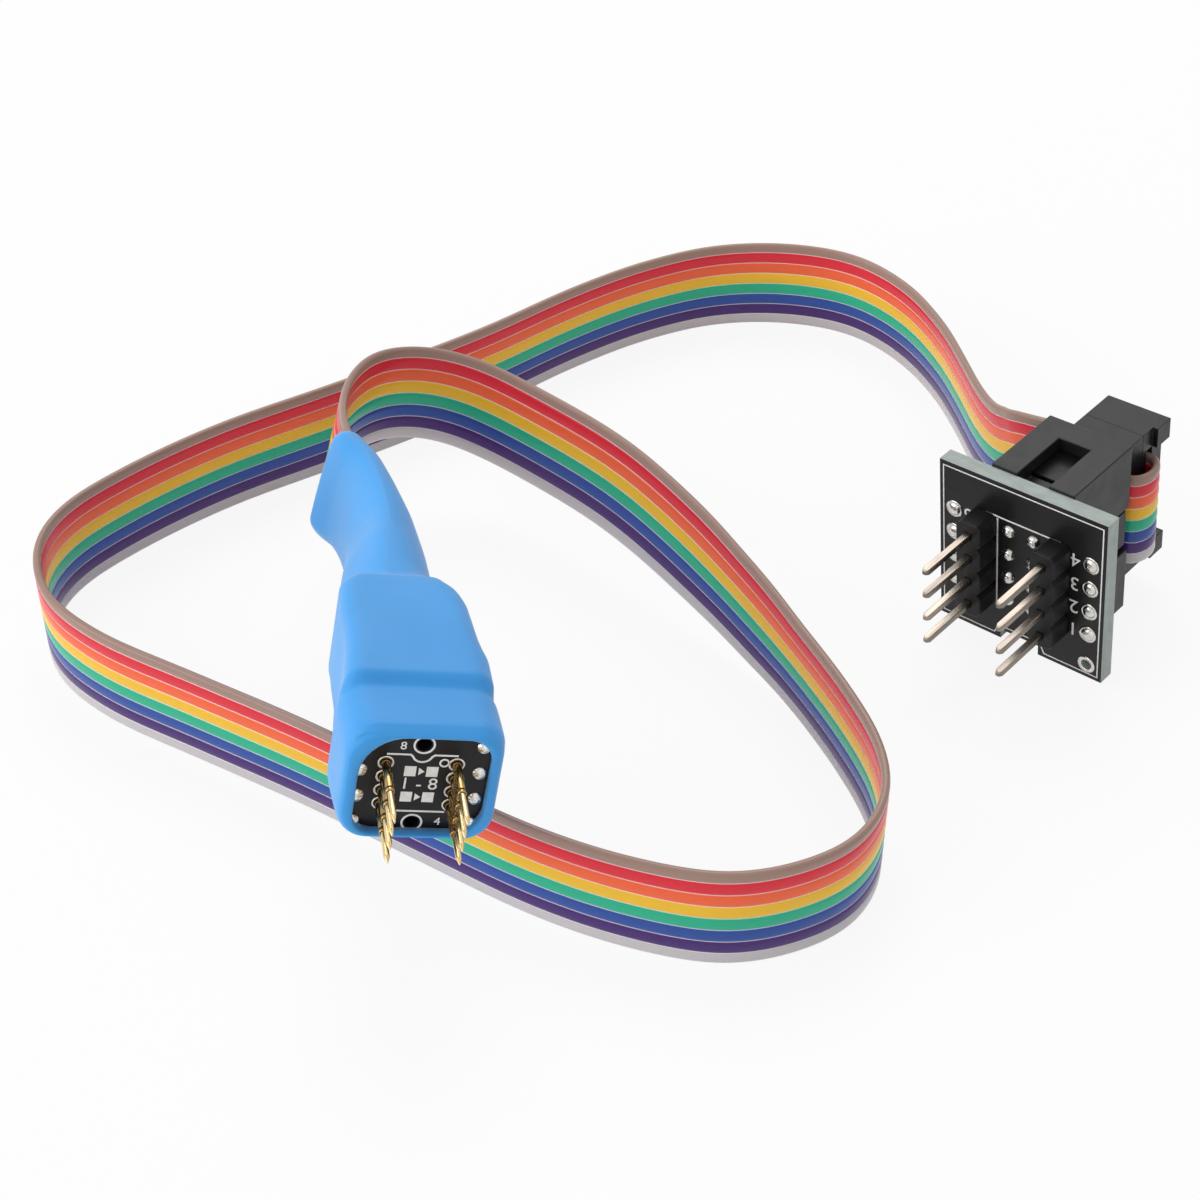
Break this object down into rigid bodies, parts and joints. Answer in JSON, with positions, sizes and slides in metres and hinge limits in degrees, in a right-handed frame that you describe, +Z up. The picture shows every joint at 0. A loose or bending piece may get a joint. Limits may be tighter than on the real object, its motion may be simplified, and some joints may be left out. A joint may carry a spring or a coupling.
{
  "type": "chip programming probe",
  "caption": "Hand-held probe with sprung contact pins in a soft grip, a flat multicoloured ribbon and a plug-in adapter with two rows of pins.",
  "frame": {"origin": "on the desk, under the middle of the box round the grip, the ribbon plug and the adapter", "axes": "+Z up from the desk; the probe points along -Y; +X from the grip towards the adapter"},
  "size_m": [0.1029, 0.0936, 0.0235],
  "materials": {
    "grip": "soft matt blue",
    "board": "black solder mask on glass board",
    "tinned_pin": "tinned",
    "solder": "bright tin solder",
    "gold": "gold plated",
    "spring_steel": "plain wire",
    "contact": "plated strip",
    "black_plastic": "moulded",
    "wire_brown": "satin insulation",
    "wire_red": "satin insulation",
    "wire_orange": "satin insulation",
    "wire_yellow": "satin insulation",
    "wire_green": "satin insulation",
    "wire_blue": "satin insulation",
    "wire_purple": "satin insulation",
    "wire_grey": "satin insulation"
  },
  "bodies": {
    "probe_and_ribbon": {"grip_sleeve": "grip", "tip_board": "board", "rear_board": "board", "link_posts_left": "tinned_pin", "link_posts_right": "tinned_pin", "tip_solder": "solder", "barrel_1": "gold", "barrel_2": "gold", "barrel_3": "gold", "barrel_4": "gold", "barrel_5": "gold", "barrel_6": "gold", "barrel_7": "gold", "barrel_8": "gold", "spring_1": "spring_steel", "spring_2": "spring_steel", "spring_3": "spring_steel", "spring_4": "spring_steel", "spring_5": "spring_steel", "spring_6": "spring_steel", "spring_7": "spring_steel", "spring_8": "spring_steel", "wire_brown": "wire_brown", "wire_red": "wire_red", "wire_orange": "wire_orange", "wire_yellow": "wire_yellow", "wire_green": "wire_green", "wire_blue": "wire_blue", "wire_purple": "wire_purple", "wire_grey": "wire_grey", "plug_body": "black_plastic", "plug_contacts": "contact", "plug_cover": "black_plastic", "strain_relief": "black_plastic"},
    "plunger_1_body": {"plunger_1": "gold"},
    "plunger_2_body": {"plunger_2": "gold"},
    "plunger_3_body": {"plunger_3": "gold"},
    "plunger_4_body": {"plunger_4": "gold"},
    "plunger_5_body": {"plunger_5": "gold"},
    "plunger_6_body": {"plunger_6": "gold"},
    "plunger_7_body": {"plunger_7": "gold"},
    "plunger_8_body": {"plunger_8": "gold"},
    "adapter": {"box_header": "black_plastic", "header_pins": "tinned_pin", "adapter_board": "board", "dip_base_left": "black_plastic", "dip_base_right": "black_plastic", "dip_pins_left": "tinned_pin", "dip_pins_right": "tinned_pin", "adapter_solder": "solder"}
  },
  "joints": [
    {"name": "press_1", "type": "slide", "parent": "probe_and_ribbon", "child": "plunger_1_body", "axis": [0, 0.9986, -0.0523], "range_m": [0, 0.0026], "stiffness_N_per_m": 300, "springref_m": -0.0005, "deforming": ["spring_1"]},
    {"name": "press_2", "type": "slide", "parent": "probe_and_ribbon", "child": "plunger_2_body", "axis": [0, 0.9986, -0.0523], "range_m": [0, 0.0026], "stiffness_N_per_m": 300, "springref_m": -0.0005, "deforming": ["spring_2"]},
    {"name": "press_3", "type": "slide", "parent": "probe_and_ribbon", "child": "plunger_3_body", "axis": [0, 0.9986, -0.0523], "range_m": [0, 0.0026], "stiffness_N_per_m": 300, "springref_m": -0.0005, "deforming": ["spring_3"]},
    {"name": "press_4", "type": "slide", "parent": "probe_and_ribbon", "child": "plunger_4_body", "axis": [0, 0.9986, -0.0523], "range_m": [0, 0.0026], "stiffness_N_per_m": 300, "springref_m": -0.0005, "deforming": ["spring_4"]},
    {"name": "press_5", "type": "slide", "parent": "probe_and_ribbon", "child": "plunger_5_body", "axis": [0, 0.9986, -0.0523], "range_m": [0, 0.0026], "stiffness_N_per_m": 300, "springref_m": -0.0005, "deforming": ["spring_5"]},
    {"name": "press_6", "type": "slide", "parent": "probe_and_ribbon", "child": "plunger_6_body", "axis": [0, 0.9986, -0.0523], "range_m": [0, 0.0026], "stiffness_N_per_m": 300, "springref_m": -0.0005, "deforming": ["spring_6"]},
    {"name": "press_7", "type": "slide", "parent": "probe_and_ribbon", "child": "plunger_7_body", "axis": [0, 0.9986, -0.0523], "range_m": [0, 0.0026], "stiffness_N_per_m": 300, "springref_m": -0.0005, "deforming": ["spring_7"]},
    {"name": "press_8", "type": "slide", "parent": "probe_and_ribbon", "child": "plunger_8_body", "axis": [0, 0.9986, -0.0523], "range_m": [0, 0.0026], "stiffness_N_per_m": 300, "springref_m": -0.0005, "deforming": ["spring_8"]},
    {"name": "unplug", "type": "slide", "parent": "probe_and_ribbon", "child": "adapter", "axis": [-0.7909, -0.6069, -0.0785], "range_m": [0, 0.0095]}
  ]
}
